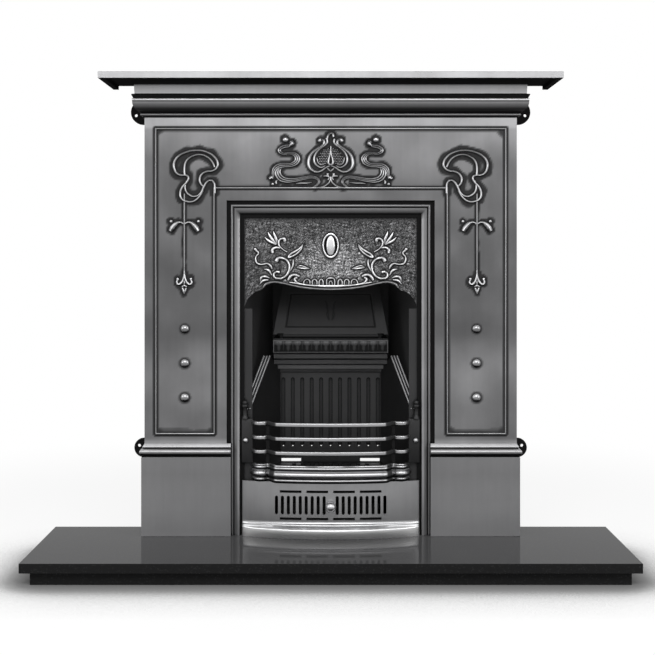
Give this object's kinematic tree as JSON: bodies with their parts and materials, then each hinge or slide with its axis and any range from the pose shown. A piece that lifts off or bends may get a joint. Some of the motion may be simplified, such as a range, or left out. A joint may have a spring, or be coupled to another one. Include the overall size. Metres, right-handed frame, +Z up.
{
  "type": "cast iron fireplace",
  "caption": "Cast iron fireplace with moulded surround and shelf, hammered canopy, hinged damper, barred grate and sliding air control, standing on a stone hearth.",
  "frame": {"origin": "on the floor, in the middle of the whole object's box, halfway between the hearth's front edge and the bolt heads on the smoke box's back", "axes": "+X across the fireplace, to the right as one faces it; -Y into the room; +Z up"},
  "size_m": [1.372, 0.503, 1.157],
  "materials": {
    "granite": "polished black stone",
    "cast_front": "burnished grey, dark in the hollows",
    "cast_bright": "polished edges and mouldings",
    "canopy_iron": "hammered, dark with bright high spots",
    "cast_black": "black-leaded, dull",
    "cast_satin": "even satin grey",
    "bright_steel": "polished",
    "dark_steel": "dark oiled fasteners",
    "pan_steel": "matt black sheet"
  },
  "bodies": {
    "surround": {"hearth_slab": "granite", "hearth_base": "granite", "left_plinth": "cast_front", "right_plinth": "cast_front", "front_plate": "cast_front", "cornice": "cast_front", "mantel_shelf": "cast_bright", "shelf_bolts": "dark_steel", "panel_ridges": "cast_bright", "panel_studs": "cast_bright", "insert_frame": "cast_front", "insert_bolts": "dark_steel", "canopy": "canopy_iron", "canopy_boss": "cast_bright", "canopy_nuts": "dark_steel", "left_wall": "cast_black", "right_wall": "cast_black", "smoke_back": "cast_black", "smoke_bolts": "dark_steel", "fireback": "cast_black", "fireback_cap": "cast_black", "left_cheek": "cast_black", "right_cheek": "cast_black", "damper_pin": "dark_steel", "bar_rail": "cast_bright", "fire_bars": "cast_bright", "left_standard": "cast_black", "right_standard": "cast_black", "standard_bolts": "bright_steel", "ash_pan": "pan_steel", "pan_handle": "dark_steel"},
    "damper": {"damper_flap": "cast_black"},
    "grate": {"bottom_grate": "cast_black"},
    "cover": {"ash_cover": "cast_satin", "slide_guides": "dark_steel"},
    "slide": {"air_slide": "cast_black", "air_knob": "bright_steel"}
  },
  "joints": [
    {"name": "damper_hinge", "type": "hinge", "parent": "surround", "child": "damper", "pos_m": [0, 0.1215, 0.53], "axis": [1, 0, 0], "range_deg": [0, 50]},
    {"name": "grate_lift", "type": "slide", "parent": "surround", "child": "grate", "axis": [0, 0, 1], "range_m": [0, 0.06]},
    {"name": "cover_pull", "type": "slide", "parent": "surround", "child": "cover", "axis": [0, -1, 0], "range_m": [0, 0.15]},
    {"name": "air_slide", "type": "slide", "parent": "cover", "child": "slide", "axis": [1, 0, 0], "range_m": [0, 0.00715]}
  ]
}
